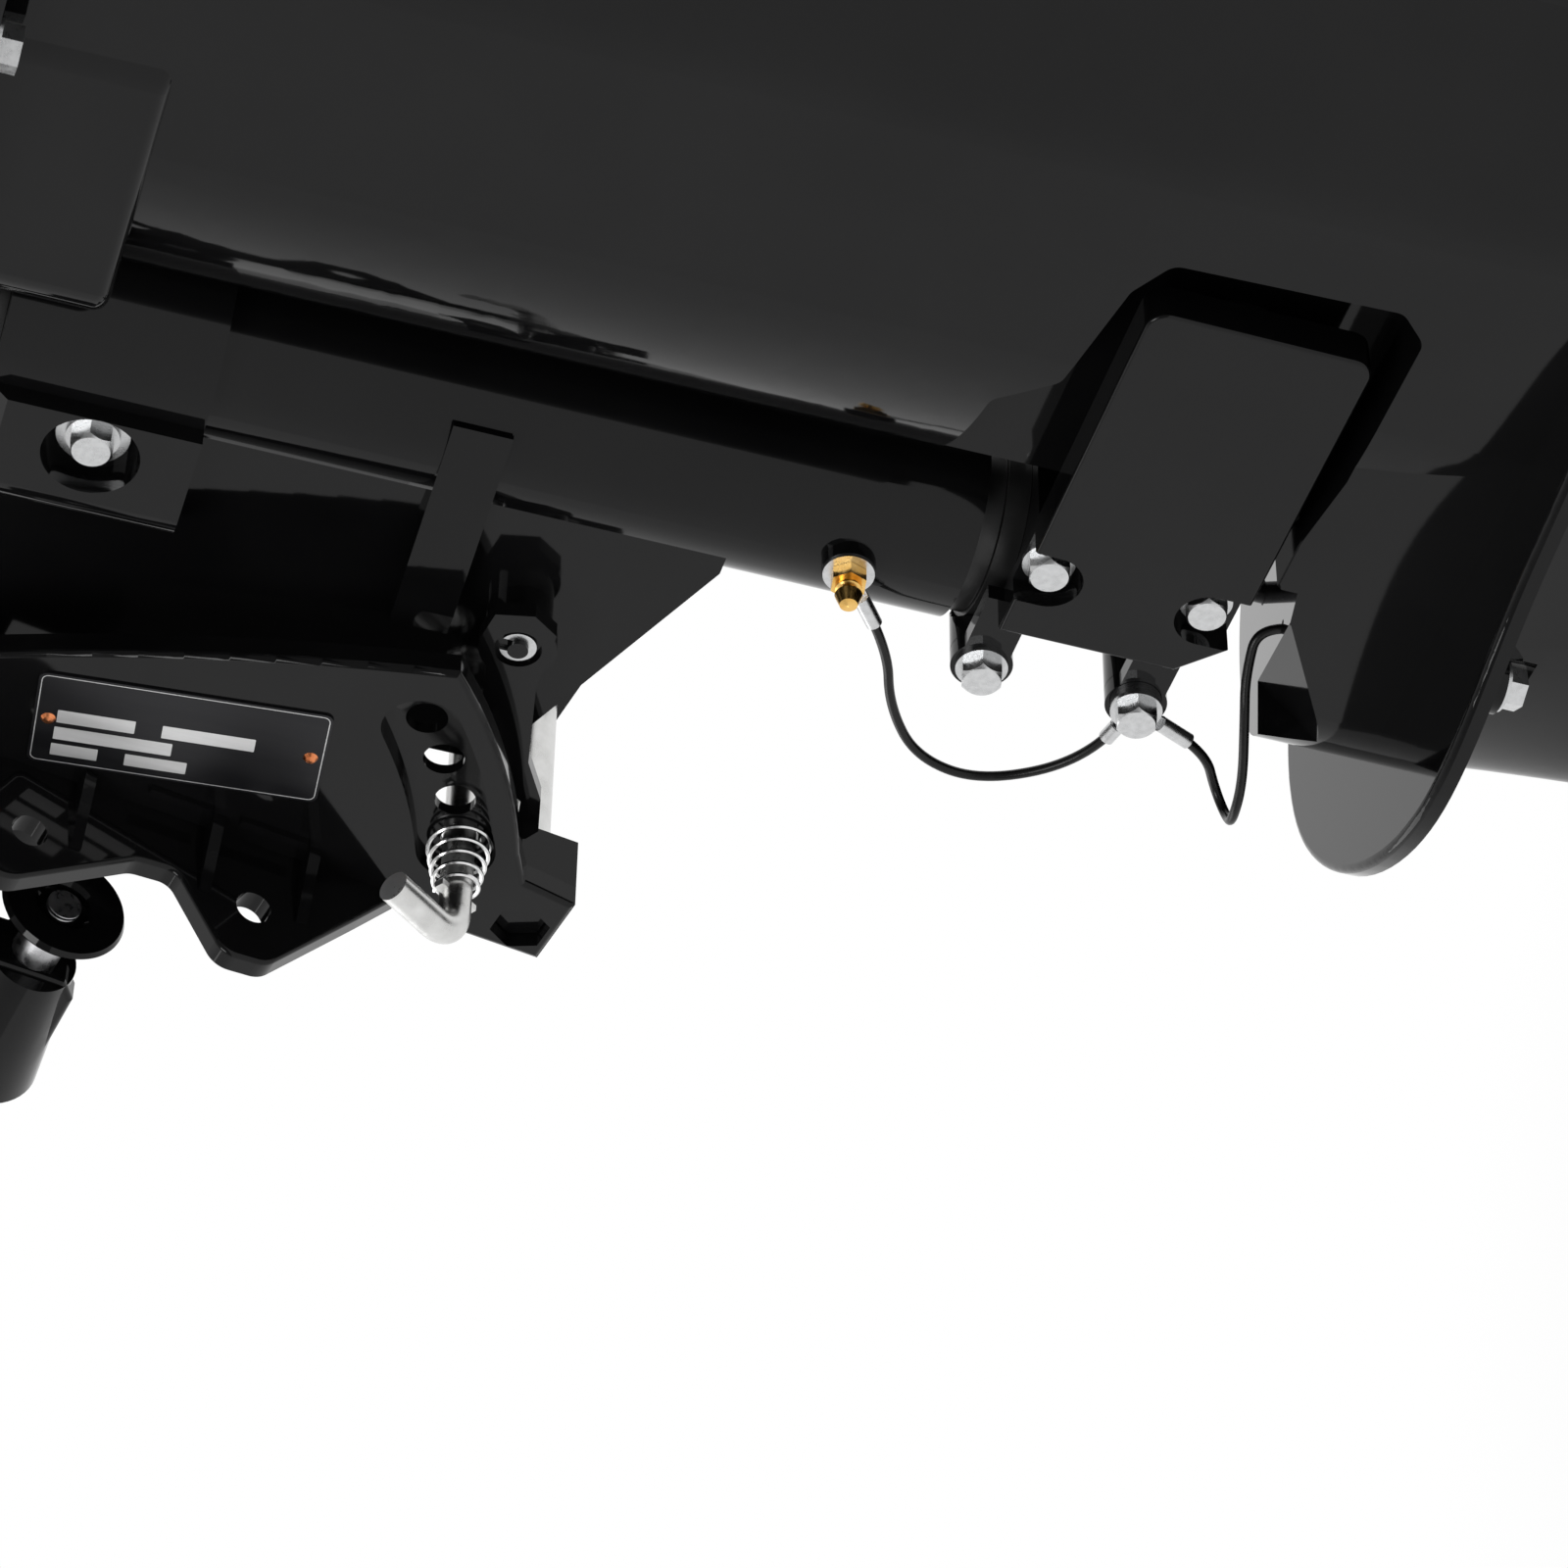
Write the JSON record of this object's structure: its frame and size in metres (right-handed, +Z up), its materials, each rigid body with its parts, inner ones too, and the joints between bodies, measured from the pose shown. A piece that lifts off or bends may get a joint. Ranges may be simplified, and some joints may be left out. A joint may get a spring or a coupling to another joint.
{
  "type": "outboard motor",
  "caption": "Portable outboard motor with transom clamps, tilting and steering leg, shiftable bevel drive, propeller, cowled powerhead and folding tiller.",
  "frame": {"origin": "middle of the transom's top edge, on its aft face, where the two clamp brackets hang on", "axes": "+X to port, +Y aft, +Z up, with the leg upright and straight ahead"},
  "size_m": [0.298, 0.8954, 1.103],
  "materials": {
    "gloss_black_paint": "gloss",
    "zinc_plated_steel": "satin",
    "bare_light_steel": "satin",
    "machined_steel": "satin",
    "spring_steel": "gloss",
    "copper": "satin",
    "brass": "satin",
    "dark_plate": "satin",
    "black_rubber": "matte",
    "black_cable": "gloss",
    "white_bush": "satin",
    "black_plastic": "satin",
    "red_plastic": "gloss",
    "cast_aluminium": "matte",
    "zinc_anode": "matte"
  },
  "bodies": {
    "clamp": {"clamp_bracket_port": "gloss_black_paint", "clamp_bracket_starboard": "gloss_black_paint", "name_plate": "dark_plate", "name_plate_rivets": "copper", "tilt_tube": "bare_light_steel", "bracket_fasteners": "zinc_plated_steel", "bracket_spacer_tube": "bare_light_steel"},
    "pad_port": {"clamp_pad_port": "gloss_black_paint"},
    "pad_starboard": {"clamp_pad_starboard": "gloss_black_paint"},
    "screw_port": {"clamp_screw_port": "gloss_black_paint"},
    "screw_starboard": {"clamp_screw_starboard": "gloss_black_paint"},
    "pin_spring": {"trim_pin_spring": "spring_steel"},
    "pin": {"trim_pin": "bare_light_steel"},
    "swivel": {"swivel_bracket": "gloss_black_paint", "swivel_bushes": "white_bush", "grease_nipple": "brass", "swivel_terminal": "zinc_plated_steel", "steering_friction_bolt": "zinc_plated_steel"},
    "reverse_lock": {"reverse_lock_arm": "gloss_black_paint", "reverse_lock_clips": "zinc_plated_steel"},
    "tilt_support": {"tilt_support_lever": "gloss_black_paint"},
    "leg": {"steering_shaft": "machined_steel", "lower_yoke": "gloss_black_paint", "lower_mount_arms": "gloss_black_paint", "mount_bolts": "zinc_plated_steel", "mount_rubbers": "black_rubber", "upper_yoke": "gloss_black_paint", "yoke_terminals": "zinc_plated_steel", "bonding_wire_leg": "black_cable", "bonding_wire_swivel": "black_cable", "drive_shaft_housing": "gloss_black_paint", "housing_bolts": "zinc_plated_steel", "engine_holder": "gloss_black_paint", "gearcase": "gloss_black_paint", "trim_tab_anode": "zinc_anode", "gearcase_bearings": "cast_aluminium", "tiller_pivot_bolt": "zinc_plated_steel", "cowl_bottom": "gloss_black_paint", "cowl_top": "gloss_black_paint", "powerhead_block": "cast_aluminium", "cylinder_head": "cast_aluminium", "spark_plugs": "white_bush", "carburettor": "cast_aluminium", "starter_motor": "cast_aluminium"},
    "driveline": {"drive_shaft_pinion": "machined_steel", "water_pump_impeller": "black_rubber", "crankshaft_flywheel": "machined_steel"},
    "gear_forward": {"forward_gear": "machined_steel"},
    "gear_reverse": {"reverse_gear": "machined_steel"},
    "propeller_set": {"propeller_shaft": "machined_steel", "propeller": "gloss_black_paint", "propeller_nut": "zinc_plated_steel"},
    "clutch": {"dog_clutch": "machined_steel"},
    "rod": {"shift_rod": "machined_steel"},
    "shift": {"shift_lever": "gloss_black_paint"},
    "tiller": {"tiller_arm": "gloss_black_paint"},
    "grip": {"twist_grip": "black_rubber"},
    "latch": {"cowl_latch": "black_plastic"},
    "choke": {"choke_knob": "black_plastic"},
    "stop": {"stop_button": "red_plastic"}
  },
  "joints": [
    {"name": "clamp_port_travel", "type": "slide", "parent": "clamp", "child": "pad_port", "axis": [0, 0.9848, -0.1736], "range_m": [-0.015, 0.03]},
    {"name": "clamp_starboard_travel", "type": "slide", "parent": "clamp", "child": "pad_starboard", "axis": [0, 0.9848, -0.1736], "range_m": [-0.015, 0.03]},
    {"name": "clamp_port_turn", "type": "hinge", "parent": "pad_port", "child": "screw_port", "pos_m": [0.06, -0.06777, -0.03882], "axis": [0, 0.9848, -0.1736], "range_deg": [-2700, 5400]},
    {"name": "clamp_starboard_turn", "type": "hinge", "parent": "pad_starboard", "child": "screw_starboard", "pos_m": [-0.06, -0.06777, -0.03882], "axis": [0, 0.9848, -0.1736], "range_deg": [-2700, 5400]},
    {"name": "trim_pin_pull", "type": "slide", "parent": "clamp", "child": "pin_spring", "axis": [1, 0, 0], "range_m": [0, 0.15]},
    {"name": "trim_pin_turn", "type": "hinge", "parent": "pin_spring", "child": "pin", "pos_m": [0, 0.0085, -0.15853], "axis": [1, 0, 0], "range_deg": [-180, 180]},
    {"name": "tilt", "type": "hinge", "parent": "clamp", "child": "swivel", "pos_m": [0, -0.05498, 0.04523], "axis": [1, 0, 0], "range_deg": [0, 65]},
    {"name": "reverse_lock_turn", "type": "hinge", "parent": "swivel", "child": "reverse_lock", "pos_m": [0, 0.088, -0.1565], "axis": [1, 0, 0], "range_deg": [-9, 0]},
    {"name": "tilt_support_turn", "type": "hinge", "parent": "swivel", "child": "tilt_support", "pos_m": [0, 0.02, -0.06], "axis": [1, 0, 0], "range_deg": [-40, 5]},
    {"name": "steer", "type": "hinge", "parent": "swivel", "child": "leg", "pos_m": [0, 0.144, 0], "axis": [0, 0, 1], "range_deg": [-45, 45], "deforming": ["bonding_wire_swivel"]},
    {"name": "crankshaft_turn", "type": "hinge", "parent": "leg", "child": "driveline", "pos_m": [0, 0.214, 0], "axis": [0, 0, 1], "continuous": true},
    {"name": "forward_gear_turn", "type": "hinge", "parent": "leg", "child": "gear_forward", "pos_m": [0, 0.214, -0.575], "axis": [0, 1, 0], "continuous": true},
    {"name": "reverse_gear_turn", "type": "hinge", "parent": "leg", "child": "gear_reverse", "pos_m": [0, 0.214, -0.575], "axis": [0, 1, 0], "continuous": true},
    {"name": "propeller_turn", "type": "hinge", "parent": "leg", "child": "propeller_set", "pos_m": [0, 0.214, -0.575], "axis": [0, 1, 0], "continuous": true},
    {"name": "clutch_slide", "type": "slide", "parent": "propeller_set", "child": "clutch", "axis": [0, 1, 0], "range_m": [-0.0047, 0.0047]},
    {"name": "shift_rod_slide", "type": "slide", "parent": "leg", "child": "rod", "axis": [0, 0, 1], "range_m": [-0.0052, 0.0052]},
    {"name": "shift_lever_turn", "type": "hinge", "parent": "leg", "child": "shift", "pos_m": [0, 0.128, 0.088], "axis": [1, 0, 0], "range_deg": [-18, 18]},
    {"name": "tiller_fold", "type": "hinge", "parent": "leg", "child": "tiller", "pos_m": [0, 0.034, 0.09], "axis": [-1, 0, 0], "range_deg": [0, 90]},
    {"name": "twist_grip_turn", "type": "hinge", "parent": "tiller", "child": "grip", "pos_m": [0, -0.296, 0.09], "axis": [0, -1, 0], "range_deg": [0, 90]},
    {"name": "cowl_latch_turn", "type": "hinge", "parent": "leg", "child": "latch", "pos_m": [0, 0.473, 0.176], "axis": [-1, 0, 0], "range_deg": [0, 75]},
    {"name": "choke_pull", "type": "slide", "parent": "leg", "child": "choke", "axis": [0, -1, 0], "range_m": [0, 0.025]},
    {"name": "stop_button_push", "type": "slide", "parent": "leg", "child": "stop", "axis": [0, 1, 0], "range_m": [0, 0.004], "stiffness_N_per_m": 300}
  ],
  "couplings": [
    {"joint": "clamp_port_travel", "follows": "clamp_port_turn", "m_per_rad": 0.00031831},
    {"joint": "clamp_starboard_travel", "follows": "clamp_starboard_turn", "m_per_rad": 0.00031831},
    {"joint": "forward_gear_turn", "follows": "crankshaft_turn", "ratio": 0.54167},
    {"joint": "reverse_gear_turn", "follows": "crankshaft_turn", "ratio": -0.54167},
    {"joint": "clutch_slide", "follows": "shift_lever_turn", "m_per_rad": -0.014642},
    {"joint": "shift_rod_slide", "follows": "shift_lever_turn", "m_per_rad": 0.016}
  ]
}
